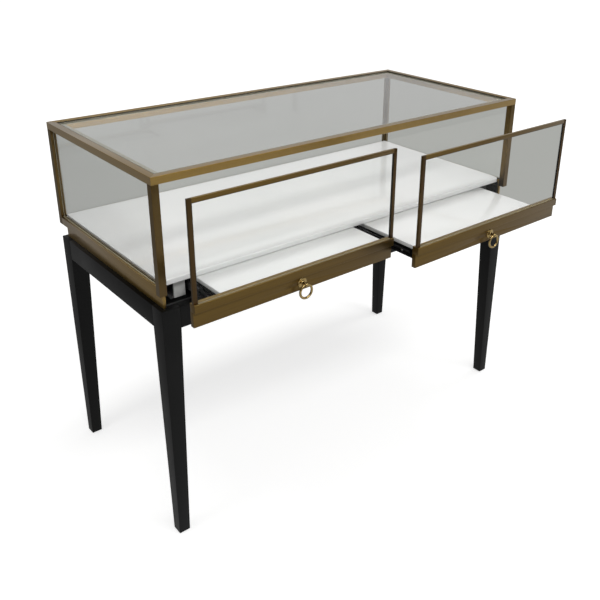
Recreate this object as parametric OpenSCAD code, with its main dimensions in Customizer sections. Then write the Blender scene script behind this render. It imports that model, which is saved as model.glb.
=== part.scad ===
// Jewelry display counter: a glass case in a slim metal frame, with two
// pull-out display drawers whose fronts are glass, on a table base with four
// tapered legs. The front faces -Y, +X is to the right and the floor is Z = 0.
// The origin is the middle of the floor area that the counter takes up with
// its drawers drawn out as left_open and right_open say.

/* [Overall size] */
// Width of the case, left to right
counter_w = 1200; // [900:10:1500]
// Depth of the case, front to back
counter_d = 550; // [500:10:700]
// Height from the floor to the top of the case
counter_h = 950; // [880:10:1100]

/* [Table base] */
// Height of the table base
base_h = 637; // [560:1:700]
// Distance from the outer faces of the case in to those of the base
base_inset = 1.5; // [0.5:0.5:8]
// Width of a square leg at its top
leg_top = 46; // [38:1:60]
// Width of a square leg at its foot
leg_foot = 29; // [25:1:36]
// Height of the aprons between the legs
apron_h = 54; // [42:1:90]
// Thickness of the aprons
apron_t = 20; // [15:1:30]
// Diameter of a glide under a foot
glide_dia = 22; // [14:1:24]
// Thickness of a glide
glide_t = 2; // [2:0.5:10]
// Diameter of the pin on a glide
glide_pin_dia = 4; // [3:0.5:6]
// Length of the pin on a glide
glide_pin_len = 15; // [8:1:30]
// Thickness of the steel plates across the corners of the base
corner_plate_t = 3; // [2:0.5:5]
// Height of the corner plates
corner_plate_h = 34; // [24:1:40]
// Length of each flange of a corner plate along its apron
corner_flange = 26; // [15:1:40]
// Diameter of the bolts that hold the legs
leg_bolt_dia = 8; // [6:1:10]
// Depth of those bolts in the legs
leg_bolt_depth = 28; // [15:1:30]

/* [Drawer box] */
// Height of the drawer box between the base and the case frame
box_h = 38; // [34:1:60]
// Distance from the outer faces of the case in to those of the drawer box
box_inset = 13; // [9:0.5:14]
// Distance from the front of the case back to the front ends of the box sides
box_front = 14; // [10:1:30]
// Thickness of the panels of the drawer box
panel_t = 7; // [4:0.5:7]
// Thickness of the floor of the drawer box
floor_t = 4; // [3:0.5:5]
// Distance from the front of the case back to the floor of the drawer box
floor_front = 24; // [22:1:40]
// Thickness of the divider between the two drawers
divider_t = 8; // [8:0.5:16]
// Width of the empty bay between a side panel and its spacer bar
side_bay = 33; // [15:1:60]
// Width of the spacer bars that carry the outer slides
spacer_w = 30; // [15:1:40]
// Wall of the spacer bars
spacer_wall = 2; // [1.5:0.5:3]
// Width of the foot flange on the outer side of a spacer bar
spacer_flange = 8; // [6:1:14]
// Distance from the front of the case back to the caps of the spacer bars
spacer_front = 38; // [25:1:38]
// Thickness of the caps on the spacer bars
spacer_cap_t = 2; // [1:0.5:4]

/* [Case frame] */
// Side of the square bars of the case frame
bar = 18; // [17:0.5:25]
// Rounding of the long edges of the bars
bar_round = 1; // [0.5:0.1:2]
// Height of the sills round the foot of the case
sill_h = 20; // [16:1:30]
// Width of the ledge inside the top rails that carries the top glass
ledge_w = 18; // [6:0.5:22]
// Height of that ledge
ledge_h = 14; // [9:0.5:16]
// Distance from the top of the case down to the top glass
top_glass_drop = 4; // [0.5:0.5:5]
// Thickness of the case's glass
glass_t = 5; // [4:0.5:6]
// Distance from the outer faces of the frame in to the side and rear glass
glass_in = 8; // [6:0.5:8]
// Depth to which the side and rear glass stands in the frame's grooves
glass_seat = 3.5; // [2:0.5:4]
// Clearance round glass in its grooves
glass_fit = 0.2; // [0.1:0.05:0.4]
// Clearance round the edges of the top glass
top_glass_gap = 0.5; // [0.2:0.1:1]

/* [Deck] */
// Thickness of the white deck
deck_t = 13; // [10:1:16]
// Height of the deck's surface above the sills
deck_rise = 6; // [2:1:10]
// Rounding of the deck's front top edge
deck_round = 3; // [2:0.5:8]
// Radius of the deck's front corners, seen from above
deck_corner = 9; // [4:1:20]
// Clearance between the deck and the case frame
deck_gap = 0.5; // [0.2:0.1:2]
// Width of the angle cleats under the deck
cleat_w = 12; // [8:1:20]
// Thickness of those cleats
cleat_t = 2; // [1.5:0.5:3]

/* [Drawer fronts] */
// Clearance between a drawer front and the post beside it
post_gap = 2.5; // [1:0.5:4]
// Clearance between the two drawer fronts
centre_gap = 2; // [1:0.5:6]
// Depth of the front rail of a drawer, front to back
rail_d = 20; // [16:1:20]
// Distance from the rail's front back to the band under it
band_recess = 8; // [4:0.5:9]
// Thickness of the band
band_t = 12; // [8:1:12]
// Clearance between the band and the base under it
band_clear = 1.5; // [1:0.5:6]
// Distance from the rail's front back to the glass frame on it
frame_recess = 4; // [2:0.5:6]
// Depth of the glass frame, front to back
frame_d = 7; // [6:0.5:10]
// Width of the stiles and of the top bar of the glass frame
stile_w = 10; // [8:0.5:16]
// Clearance between the glass frame and the top rail of the case
head_clear = 2; // [1:0.5:5]
// Thickness of the drawers' glass
front_glass_t = 4; // [3:0.5:4]
// Depth to which that glass stands in its grooves
front_glass_seat = 3.5; // [2:0.5:5]

/* [Drawer trays] */
// Distance from the underside of the deck down to a tray's surface
tray_drop = 2; // [1.5:0.5:10]
// Thickness of the white board on a tray
board_t = 10; // [4:0.5:12]
// Distance from the tray's face at the divider in to its board
board_inset = 3; // [1:0.5:6]
// Distance from the tray's face at the spacer bar in to its board
board_setback = 8.5; // [1:0.5:10]
// Clearance between the front rail and the board
board_gap = 1; // [0.5:0.5:3]
// Length of a tray, from the front of the rail to its rear end
tray_len = 405; // [395:5:460]
// Height of the wooden frame under the board
tray_frame_h = 24; // [20:1:26]
// Thickness of that frame's boards
tray_frame_t = 12; // [9:1:18]
// Glue line between the boards of that frame
glue_line = 0.1; // [0.05:0.05:0.2]

/* [Slides] */
// Length of the drawer slides
slide_len = 350; // [300:10:360]
// Height of a slide
slide_h = 27; // [27:1:32]
// Thickness of a closed slide, side to side
slide_t = 12.5; // [12:0.5:14]
// Thickness of the slide's steel sheet
slide_sheet = 1.2; // [1:0.1:1.5]
// Distance from the front of the case back to the slides
slide_front = 42; // [40:1:50]
// Distance from a tray's surface down to the upper edge of its slides
slide_drop = 8.5; // [1:0.5:10]
// Diameter of the slides' balls
ball_dia = 2.4; // [2:0.1:2.8]
// Clearance on each side of a ball
ball_fit = 0.1; // [0.05:0.05:0.15]

/* [Small screws] */
// Diameter of a screw's shank
screw_dia = 4; // [3:0.5:4.5]
// Diameter of a screw's head
screw_head_dia = 7; // [6:0.5:7.5]
// Height of a screw's head
screw_head_t = 1.5; // [1:0.1:1.6]
// Length of a slide's screw under its head
slide_screw_len = 5; // [4:0.5:5]
// Length of a front's screw under its head
front_screw_len = 19; // [16:1:20]
// Clearance round screws and pins in their holes
hole_fit = 0.1; // [0.05:0.05:0.2]

/* [Ring pulls] */
// Outer diameter of a ring
ring_dia = 40; // [32:1:50]
// Diameter of a ring's wire
ring_wire = 6; // [4:0.5:7]
// Distance from the band's face out to the axis that a ring swings on
pull_reach = 15; // [14:0.5:22]
// Diameter of a pull's rosette
rosette_dia = 26; // [18:1:30]
// Thickness of a pull's rosette
rosette_t = 4; // [2:0.5:5]
// Diameter of the neck between rosette and knuckle
neck_dia = 8; // [5:0.5:8]
// Length of the knuckle that a ring runs through
knuckle_len = 8; // [6:0.5:10]
// Wall of the knuckle
knuckle_wall = 2; // [1.5:0.5:3]
// Clearance of a ring's wire at the ends of the knuckle
ring_fit = 0.08; // [0.05:0.01:0.1]
// Diameter of the stud that holds a pull in the band
pull_stud_dia = 5; // [4:0.5:6]
// Length of that stud
pull_stud_len = 8; // [4:1:8]

/* [Pose] */
// Distance that the left drawer stands open
left_open = 112; // [0:1:300]
// Distance that the right drawer stands open
right_open = 196; // [0:1:300]

/* [Hidden] */
round_fn = 48;
small_fn = 24;
LEFT = -1;
RIGHT = 1;
SIDES = [LEFT, RIGHT];

// Heights
box_z = base_h;
floor_top = box_z + floor_t;
case_z = base_h + box_h;
sill_top = case_z + sill_h;
deck_top = sill_top + deck_rise;
deck_z = deck_top - deck_t;
head_z = counter_h - bar;
tray_top = deck_z - tray_drop;
board_z = tray_top - board_t;
tray_frame_z = board_z - tray_frame_h;
slide_z = tray_top - slide_drop - slide_h / 2;
band_z = base_h + band_clear;
pull_z = (band_z + case_z) / 2;
frame_top = head_z - head_clear;
top_glass_z = counter_h - top_glass_drop - glass_t;

// Places across the width, from the middle
half_w = counter_w / 2;
base_half_w = half_w - base_inset;
inner_w = half_w - bar;
panel_x = half_w - box_inset - panel_t;
spacer_x = panel_x - side_bay - spacer_w;
tray_in = divider_t / 2 + slide_t;
tray_out = spacer_x - slide_t;
front_in = centre_gap / 2;
front_out = inner_w - post_gap;
front_w = front_out - front_in;
pull_x = (front_in + front_out) / 2;

// Places along the depth, from the front of the case
base_d = counter_d - 2 * base_inset;
box_rear = counter_d - box_inset - panel_t;
deck_front = rail_d + 1;
deck_rear = counter_d - bar - deck_gap;
bay_rear = counter_d - bar - cleat_w - 1;
band_rear = band_recess + band_t;
front_glass_y = frame_recess + (frame_d - front_glass_t) / 2;
pull_y = band_recess - pull_reach;

// Steps of a slide's three members, from its carrier to the drawer
mid_back = slide_sheet + screw_head_t + 1.3;
mid_front = slide_t - slide_sheet - 0.3;
outer_lip = mid_front - 2;
inner_lip = mid_back + slide_sheet + 1.3;
race = ball_dia + 2 * ball_fit;
mid_half_h = slide_h / 2 - slide_sheet - race;
inner_half_h = mid_half_h - slide_sheet - race;
ball_count = 4;
ball_pitch = 40;
ball_start = 10;
// Shares of the slide's length at which its screws stand
SCREW_SHARES = [0.08, 0.36, 0.86];

// A ring's centre line, and the bore that its wire needs in the knuckle
ring_r = (ring_dia - ring_wire) / 2;
wire_in = ring_r - ring_wire / 2;
wire_dip = ring_r - sqrt(pow(wire_in, 2) - pow(knuckle_len / 2, 2));
knuckle_bore = wire_dip + ring_fit;
knuckle_r = knuckle_bore + knuckle_wall;

// The front of the case, so that the middle of the whole depth is at Y = 0
reach = max(left_open, right_open) + pull_reach - band_recess + knuckle_r;
front_y = (reach - counter_d) / 2;

// A corner plate's line across the corner, 2 mm clear of the leg
corner_run = 2 * leg_top - apron_t + 3;
nut_t = 6.5;
nut_dia = 15;

BRASS = [0.40, 0.32, 0.20];
BLACK = [0.10, 0.10, 0.10];
WHITE = [0.93, 0.93, 0.92];
STEEL = [0.62, 0.63, 0.64];
ALUMINIUM = [0.72, 0.73, 0.73];
GOLD = [0.80, 0.64, 0.30];
CLEAR = [0.75, 0.85, 0.83, 0.35];

// Moves what is drawn from the front of the case to its place
module in_case() {
    translate([0, front_y, 0]) children();
}

// Moves what is drawn in a closed drawer out with it, on its own side
module in_drawer(side) {
    open = side == LEFT ? left_open : right_open;
    translate([0, front_y - open, 0]) on_side(side) children();
}

// Draws on the right, or mirrored on the left
module on_side(side) {
    if (side == LEFT) mirror([1, 0, 0]) children();
    else children();
}

// Draws an outline of Y and Z as a bar along X
module along_x(length) {
    rotate([90, 0, 90]) linear_extrude(length) children();
}

// Draws an outline of X and Z as a bar along Y
module along_y(length) {
    translate([0, length, 0]) rotate([90, 0, 0]) linear_extrude(length) children();
}

// A box from its lowest to its highest corner
module block(low, high) {
    translate(low) cube(high - low);
}

// An upright rectangle with its four edges rounded
module round_rect(width, depth, r) {
    translate([r, 0]) square([width - 2 * r, depth]);
    translate([0, r]) square([width, depth - 2 * r]);
    for (x = [r, width - r], y = [r, depth - r]) translate([x, y]) circle(r, $fn = small_fn);
}

// Stands what is drawn for the front left corner of the base in any corner
module at_base_corner(side, rear) {
    y = rear ? base_d : 0;
    translate([side * base_half_w, front_y + base_inset + y, 0])
        on_side(-side)
            if (rear) mirror([0, 1, 0]) children();
            else children();
}

// The line of a leg's bolt, from the outer corner of the leg inwards
module on_bolt_line(distance) {
    translate([0, 0, base_h - apron_h / 2])
        rotate([0, 0, 45])
            translate([distance, 0, 0]) rotate([0, 90, 0]) children();
}

// Distances along that line
bolt_edge = leg_top * sqrt(2);
bolt_plate = (corner_run + apron_t) / sqrt(2);

module leg_side() {
    polygon([
        [0, glide_t], [leg_foot, glide_t], [leg_top, base_h - apron_h],
        [leg_top, base_h], [0, base_h]
    ]);
}

module leg(side, rear) {
    color(BLACK) at_base_corner(side, rear) difference() {
        intersection() {
            along_x(leg_top) leg_side();
            along_y(leg_top) leg_side();
        }
        translate([leg_foot / 2, leg_foot / 2, glide_t])
            cylinder(h = glide_pin_len + 1, d = glide_pin_dia + 2 * hole_fit, $fn = small_fn);
        on_bolt_line(bolt_edge - leg_bolt_depth - 1)
            cylinder(h = leg_bolt_depth + 10, d = leg_bolt_dia + 2 * hole_fit, $fn = small_fn);
    }
}

module glides() {
    color(STEEL) for (side = SIDES, rear = [false, true]) at_base_corner(side, rear)
        translate([leg_foot / 2, leg_foot / 2, 0]) {
            cylinder(h = glide_t, d = glide_dia, $fn = round_fn);
            cylinder(h = glide_t + glide_pin_len, d = glide_pin_dia, $fn = small_fn);
        }
}

// An apron along the front or the rear
module long_apron(rear) {
    y = rear ? counter_d - base_inset - apron_t : base_inset;
    run = base_half_w - leg_top;
    color(BLACK) in_case() block([-run, y, base_h - apron_h], [run, y + apron_t, base_h]);
}

module side_aprons() {
    y = base_inset + leg_top;
    color(BLACK) in_case() for (side = SIDES) on_side(side)
        block([base_half_w - apron_t, y, base_h - apron_h], [base_half_w, counter_d - y, base_h]);
}

// A bent plate between two aprons, drawn for the front left corner
module corner_plate_outline() {
    far = corner_run + corner_flange;
    near = corner_run + corner_plate_t * tan(22.5);
    skin = apron_t + corner_plate_t;
    polygon([
        [apron_t, far], [apron_t, corner_run], [corner_run, apron_t], [far, apron_t],
        [far, skin], [near, skin], [skin, near], [skin, far]
    ]);
}

module corner_plates() {
    z = base_h - (apron_h + corner_plate_h) / 2;
    color(STEEL) for (side = SIDES, rear = [false, true]) at_base_corner(side, rear) difference() {
        translate([0, 0, z]) linear_extrude(corner_plate_h) corner_plate_outline();
        on_bolt_line(bolt_plate - 1)
            cylinder(h = corner_plate_t + 2, d = leg_bolt_dia + 2 * hole_fit, $fn = small_fn);
    }
}

module leg_bolts() {
    nut_at = bolt_plate + corner_plate_t;
    start = bolt_edge - leg_bolt_depth;
    color(STEEL) for (side = SIDES, rear = [false, true]) at_base_corner(side, rear) {
        on_bolt_line(start)
            cylinder(h = nut_at + nut_t + 2 - start, d = leg_bolt_dia, $fn = small_fn);
        on_bolt_line(nut_at) difference() {
            cylinder(h = nut_t, d = nut_dia, $fn = 6);
            translate([0, 0, -1])
                cylinder(h = nut_t + 2, d = leg_bolt_dia + 2 * hole_fit, $fn = small_fn);
        }
    }
}

module box_floor() {
    color(BLACK) in_case()
        block([-panel_x, floor_front, box_z], [panel_x, box_rear, floor_top]);
}

module box_side(side) {
    color(BRASS) in_case() on_side(side)
        block([panel_x, box_front, box_z], [panel_x + panel_t, box_rear + panel_t, case_z]);
}

module box_back() {
    color(BRASS) in_case() block([-panel_x, box_rear, box_z], [panel_x, box_rear + panel_t, case_z]);
}

// Stands what is drawn at each screw of a slide, with Z away from its carrier
module at_slide_screws(base) {
    for (share = SCREW_SHARES) translate([base, slide_front + share * slide_len, slide_z])
        rotate([0, 90, 0]) children();
}

// The holes that a slide's screws need on both sides of the face they enter
module slide_screw_holes(face) {
    deep = slide_screw_len + 1;
    at_slide_screws(face - deep)
        cylinder(h = 2 * deep, d = screw_dia + 2 * hole_fit, $fn = small_fn);
}

// The same holes, stopped short inside the divider
module divider_screw_holes() {
    deep = divider_t / 2 - 0.05;
    at_slide_screws(divider_t / 2 - deep)
        cylinder(h = deep + 1, d = screw_dia + 2 * hole_fit, $fn = small_fn);
}

module centre_divider() {
    color(BLACK) in_case() difference() {
        block([-divider_t / 2, floor_front, floor_top], [divider_t / 2, bay_rear, deck_z]);
        for (side = SIDES) on_side(side) divider_screw_holes();
    }
}

module spacer_bars() {
    tall = deck_z - floor_top;
    start = spacer_front + spacer_cap_t;
    color(ALUMINIUM) in_case() for (side = SIDES) on_side(side) difference() {
        translate([spacer_x, start, floor_top]) along_y(bay_rear - start) difference() {
            union() {
                round_rect(spacer_w, tall, 1);
                translate([spacer_w / 2, 0]) square([spacer_w / 2 + spacer_flange, spacer_wall]);
            }
            translate([spacer_wall, spacer_wall])
                square([spacer_w - 2 * spacer_wall, tall - 2 * spacer_wall]);
        }
        at_slide_screws(spacer_x - 1)
            cylinder(h = spacer_wall + 2, d = screw_dia + 2 * hole_fit, $fn = small_fn);
    }
}

module spacer_caps() {
    tall = deck_z - floor_top;
    color(STEEL) in_case() for (side = SIDES) on_side(side)
        translate([spacer_x, spacer_front, floor_top])
            along_y(spacer_cap_t) round_rect(spacer_w, tall, 1);
}

// Outlines of a slide's members: X from the carrier to the drawer, Y upwards
module channel(back, lip, half_h) {
    web = back < lip ? back + slide_sheet : back - slide_sheet;
    polygon([
        [back, -half_h], [lip, -half_h], [lip, slide_sheet - half_h],
        [web, slide_sheet - half_h], [web, half_h - slide_sheet],
        [lip, half_h - slide_sheet], [lip, half_h], [back, half_h]
    ]);
}

// Stands a slide on the divider, and its mirror image on the spacer bar
module on_both_carriers() {
    translate([divider_t / 2, 0, 0]) children();
    translate([spacer_x, 0, 0]) mirror([1, 0, 0]) children();
}

module slide_outer_rails() {
    color(STEEL) in_case() for (side = SIDES) on_side(side) on_both_carriers() difference() {
        translate([0, slide_front, slide_z]) along_y(slide_len) channel(0, outer_lip, slide_h / 2);
        slide_screw_holes(0);
    }
}

// A pan-head screw that enters a face at Z = 0 from above
module screw(length) {
    cylinder(h = screw_head_t, d = screw_head_dia, $fn = small_fn);
    translate([0, 0, -length]) cylinder(h = length, d = screw_dia, $fn = small_fn);
}

module slide_screws() {
    color(STEEL) in_case() for (side = SIDES) on_side(side) on_both_carriers()
        at_slide_screws(slide_sheet) screw(slide_screw_len);
}

module ball_row(start, across, up) {
    for (i = [0:ball_count - 1]) translate([across, start + i * ball_pitch, slide_z + up])
        sphere(d = ball_dia, $fn = small_fn);
}

// The middle member of each slide, half way between case and drawer, with its balls
module slide_mid(side) {
    open = side == LEFT ? left_open : right_open;
    outer_up = mid_half_h + race / 2;
    inner_up = inner_half_h + race / 2;
    rear_row = slide_front + slide_len - ball_start - (ball_count - 1) * ball_pitch;
    front_row = slide_front + ball_start;
    color(STEEL) translate([0, front_y - open / 2, 0]) on_side(side) on_both_carriers() {
        translate([0, slide_front, slide_z])
            along_y(slide_len) channel(mid_back, mid_front, mid_half_h);
        for (up = [-1, 1]) {
            ball_row(rear_row, (mid_back + outer_lip) / 2, up * outer_up);
            ball_row(front_row, (inner_lip + mid_front) / 2, up * inner_up);
        }
    }
}

// The space that a side pane stands in, larger all round by grow
module side_pane(grow) {
    x = half_w - glass_in - glass_t;
    y = bar - glass_seat;
    block(
        [x - grow, y - grow, sill_top - glass_seat - grow],
        [x + glass_t + grow, counter_d - y + grow, head_z + glass_seat + grow]
    );
}

module rear_pane(grow) {
    x = inner_w + glass_seat;
    y = counter_d - glass_in - glass_t;
    block(
        [-x - grow, y - grow, sill_top - glass_seat - grow],
        [x + grow, y + glass_t + grow, head_z + glass_seat + grow]
    );
}

// Cuts the grooves for the fixed panes out of a member of the frame
module grooved() {
    difference() {
        children();
        for (side = SIDES) on_side(side) side_pane(glass_fit);
        rear_pane(glass_fit);
    }
}

module post(side, rear) {
    y = rear ? counter_d - bar : 0;
    color(BRASS) in_case() grooved() on_side(side)
        translate([inner_w, y, case_z]) linear_extrude(head_z - case_z) round_rect(bar, bar, bar_round);
}

// A top rail along X with mitred ends, its outer face at Y = 0 and its foot at Z = 0
module mitred_rail(length) {
    wide = bar + ledge_w;
    seat = top_glass_z - head_z;
    foot = seat - ledge_h;
    intersection() {
        along_x(length) {
            round_rect(bar, bar, bar_round);
            translate([bar / 2, 0]) square([bar / 2 + ledge_w, seat]);
            translate([bar, foot]) square([ledge_w, ledge_h]);
        }
        translate([0, 0, foot]) linear_extrude(bar - foot)
            polygon([[0, 0], [length, 0], [length - wide, wide], [wide, wide]]);
    }
}

module top_rail_long(rear) {
    turn = rear ? 180 : 0;
    y = rear ? counter_d : 0;
    x = rear ? half_w : -half_w;
    color(BRASS) in_case() grooved()
        translate([x, y, head_z]) rotate([0, 0, turn]) mitred_rail(counter_w);
}

module top_rail_side(side) {
    y = side == LEFT ? counter_d : 0;
    color(BRASS) in_case() grooved()
        translate([side * half_w, y, head_z]) rotate([0, 0, side * 90]) mitred_rail(counter_d);
}

module sill_side(side) {
    color(BRASS) in_case() grooved() on_side(side)
        translate([inner_w, bar, case_z])
            along_y(counter_d - 2 * bar) round_rect(bar, sill_h, bar_round);
}

module sill_rear() {
    color(BRASS) in_case() grooved()
        translate([-inner_w, counter_d - bar, case_z])
            along_x(2 * inner_w) round_rect(bar, sill_h, bar_round);
}

module glass_top() {
    x = inner_w - top_glass_gap;
    y = bar + top_glass_gap;
    color(CLEAR) in_case()
        block([-x, y, top_glass_z], [x, counter_d - y, top_glass_z + glass_t]);
}

module glass_side(side) {
    color(CLEAR) in_case() on_side(side) side_pane(0);
}

module glass_rear() {
    color(CLEAR) in_case() rear_pane(0);
}

module deck() {
    x = inner_w - deck_gap;
    deep = deck_rear - deck_front;
    color(WHITE) in_case() translate([-x, deck_front, deck_z]) intersection() {
        along_x(2 * x) {
            translate([deck_round, 0]) square([deep - deck_round, deck_t]);
            square([deck_round + 1, deck_t - deck_round]);
            translate([deck_round, deck_t - deck_round]) circle(deck_round, $fn = round_fn);
        }
        linear_extrude(deck_t) {
            translate([0, deck_corner]) square([2 * x, deep - deck_corner]);
            translate([deck_corner, 0]) square([2 * (x - deck_corner), deck_corner + 1]);
            for (cx = [deck_corner, 2 * x - deck_corner]) translate([cx, deck_corner])
                circle(deck_corner, $fn = round_fn);
        }
    }
}

// An angle cleat's outline, its flat leg at the top and its corner at X = 0
module cleat_outline() {
    translate([-cleat_t, -cleat_w]) square([cleat_t, cleat_w]);
    translate([-cleat_w, -cleat_t]) square([cleat_w, cleat_t]);
}

module deck_cleats() {
    rear = counter_d - bar;
    run = inner_w - cleat_w - 1;
    color(BLACK) in_case() {
        for (side = SIDES) on_side(side)
            translate([inner_w, deck_front, deck_z]) along_y(rear - deck_front) cleat_outline();
        translate([-run, rear, deck_z]) along_x(2 * run) cleat_outline();
    }
}

module drawer_rail(side) {
    color(BRASS) in_drawer(side) difference() {
        translate([front_in, 0, case_z]) along_x(front_w) round_rect(rail_d, sill_h, bar_round);
        front_pane(glass_fit);
    }
}

// The space that a drawer's pane stands in, larger all round by grow
module front_pane(grow) {
    edge = stile_w - front_glass_seat - grow;
    block(
        [front_in + edge, front_glass_y - grow, sill_top - front_glass_seat - grow],
        [front_out - edge, front_glass_y + front_glass_t + grow, frame_top - edge]
    );
}

module drawer_stiles(side) {
    y = frame_recess;
    color(BRASS) in_drawer(side) difference() {
        for (x = [front_in, front_out - stile_w])
            block([x, y, sill_top], [x + stile_w, y + frame_d, frame_top]);
        front_pane(glass_fit);
    }
}

module drawer_top_bar(side) {
    y = frame_recess;
    color(BRASS) in_drawer(side) difference() {
        block(
            [front_in + stile_w, y, frame_top - stile_w],
            [front_out - stile_w, y + frame_d, frame_top]
        );
        front_pane(glass_fit);
    }
}

module drawer_glass(side) {
    color(CLEAR) in_drawer(side) front_pane(0);
}

// Stands what is drawn at a drawer front's screws, with Z towards the rear
module at_front_screws() {
    third = (tray_out - tray_in) / 3;
    z = tray_frame_z + tray_frame_h / 2;
    for (x = [tray_in + third / 2, tray_out - third / 2], dx = [-1, 1])
        translate([x + dx * third / 4, band_rear + tray_frame_t, z]) rotate([-90, 0, 0]) children();
}

module front_screw_holes() {
    at_front_screws() translate([0, 0, -front_screw_len - 0.5])
        cylinder(h = front_screw_len + 1, d = screw_dia + 2 * hole_fit, $fn = small_fn);
}

module drawer_band(side) {
    color(BRASS) in_drawer(side) difference() {
        block([front_in, band_recess, band_z], [front_out, band_rear, case_z]);
        front_screw_holes();
        translate([pull_x, band_recess - 1, pull_z]) rotate([-90, 0, 0])
            cylinder(h = pull_stud_len + 1.5, d = pull_stud_dia + 2 * hole_fit, $fn = small_fn);
    }
}

module drawer_board(side) {
    color(WHITE) in_drawer(side) block(
        [tray_in + board_inset, rail_d + board_gap, board_z],
        [tray_out - board_setback, tray_len, tray_top]
    );
}

// The two sides and the two cross bars under a drawer's board
module drawer_frame(side) {
    wood = tray_frame_t;
    cross_in = tray_in + wood + glue_line;
    cross_out = tray_out - wood - glue_line;
    color(BLACK) in_drawer(side) {
        for (x = [tray_in, tray_out - wood]) difference() {
            block([x, band_rear, tray_frame_z], [x + wood, tray_len, board_z]);
            slide_screw_holes(tray_in);
            slide_screw_holes(tray_out);
        }
        for (y = [band_rear, tray_len - wood]) difference() {
            block([cross_in, y, tray_frame_z], [cross_out, y + wood, board_z]);
            front_screw_holes();
        }
    }
}

module drawer_slide_rails(side) {
    color(STEEL) in_drawer(side) on_both_carriers() difference() {
        translate([0, slide_front, slide_z])
            along_y(slide_len) channel(slide_t, inner_lip, inner_half_h);
        slide_screw_holes(slide_t);
    }
}

module drawer_screws(side) {
    color(STEEL) in_drawer(side) {
        on_both_carriers() at_slide_screws(slide_t - slide_sheet)
            rotate([180, 0, 0]) screw(slide_screw_len);
        at_front_screws() screw(front_screw_len);
    }
}

// Stands a pull on its band, with Z out of the band's face
module at_pull() {
    translate([pull_x, band_recess, pull_z]) rotate([90, 0, 0]) children();
}

module pull_mount(side) {
    edge = rosette_t / 2;
    color(GOLD) in_drawer(side) at_pull() {
        translate([0, 0, -pull_stud_len])
            cylinder(h = pull_stud_len + 1, d = pull_stud_dia, $fn = small_fn);
        rotate_extrude($fn = round_fn) {
            square([rosette_dia / 2, edge]);
            polygon([
                [0, edge], [rosette_dia / 2, edge],
                [rosette_dia / 2 - rosette_t + edge, rosette_t], [0, rosette_t]
            ]);
        }
        difference() {
            union() {
                cylinder(h = pull_reach, d = neck_dia, $fn = small_fn);
                translate([-knuckle_len / 2, 0, pull_reach]) rotate([0, 90, 0])
                    cylinder(h = knuckle_len, r = knuckle_r, $fn = round_fn);
            }
            translate([-knuckle_len / 2 - 1, 0, pull_reach]) rotate([0, 90, 0])
                cylinder(h = knuckle_len + 2, r = knuckle_bore, $fn = round_fn);
        }
    }
}

module pull_ring(side) {
    color(GOLD) in_drawer(side) translate([pull_x, pull_y, pull_z - ring_r]) rotate([90, 0, 0])
        rotate_extrude($fn = 72) translate([ring_r, 0]) circle(d = ring_wire, $fn = small_fn);
}

leg(LEFT, false);  // leg_front_left
leg(RIGHT, false);  // leg_front_right
leg(LEFT, true);  // leg_rear_left
leg(RIGHT, true);  // leg_rear_right
glides();
long_apron(false);  // apron_front
long_apron(true);  // apron_rear
side_aprons();
corner_plates();
leg_bolts();
box_floor();
box_side(LEFT);  // box_side_left
box_side(RIGHT);  // box_side_right
box_back();
centre_divider();
spacer_bars();
spacer_caps();
slide_outer_rails();
slide_screws();
post(LEFT, false);  // post_front_left
post(RIGHT, false);  // post_front_right
post(LEFT, true);  // post_rear_left
post(RIGHT, true);  // post_rear_right
top_rail_long(false);  // top_rail_front
top_rail_long(true);  // top_rail_rear
top_rail_side(LEFT);  // top_rail_left
top_rail_side(RIGHT);  // top_rail_right
sill_side(LEFT);  // sill_left
sill_side(RIGHT);  // sill_right
sill_rear();
glass_top();
glass_side(LEFT);  // glass_left
glass_side(RIGHT);  // glass_right
glass_rear();
deck();
deck_cleats();
slide_mid(LEFT);  // slide_mid_left
slide_mid(RIGHT);  // slide_mid_right
drawer_rail(LEFT);  // drawer_left_rail
drawer_band(LEFT);  // drawer_left_band
drawer_stiles(LEFT);  // drawer_left_stiles
drawer_top_bar(LEFT);  // drawer_left_top_bar
drawer_glass(LEFT);  // drawer_left_glass
drawer_board(LEFT);  // drawer_left_board
drawer_frame(LEFT);  // drawer_left_frame
drawer_slide_rails(LEFT);  // drawer_left_slide_rails
drawer_screws(LEFT);  // drawer_left_screws
pull_mount(LEFT);  // pull_left_mount
pull_ring(LEFT);  // pull_left_ring
drawer_rail(RIGHT);  // drawer_right_rail
drawer_band(RIGHT);  // drawer_right_band
drawer_stiles(RIGHT);  // drawer_right_stiles
drawer_top_bar(RIGHT);  // drawer_right_top_bar
drawer_glass(RIGHT);  // drawer_right_glass
drawer_board(RIGHT);  // drawer_right_board
drawer_frame(RIGHT);  // drawer_right_frame
drawer_slide_rails(RIGHT);  // drawer_right_slide_rails
drawer_screws(RIGHT);  // drawer_right_screws
pull_mount(RIGHT);  // pull_right_mount
pull_ring(RIGHT);  // pull_right_ring
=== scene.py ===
import math

import bmesh
import bpy
from mathutils import Matrix, Vector


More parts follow.
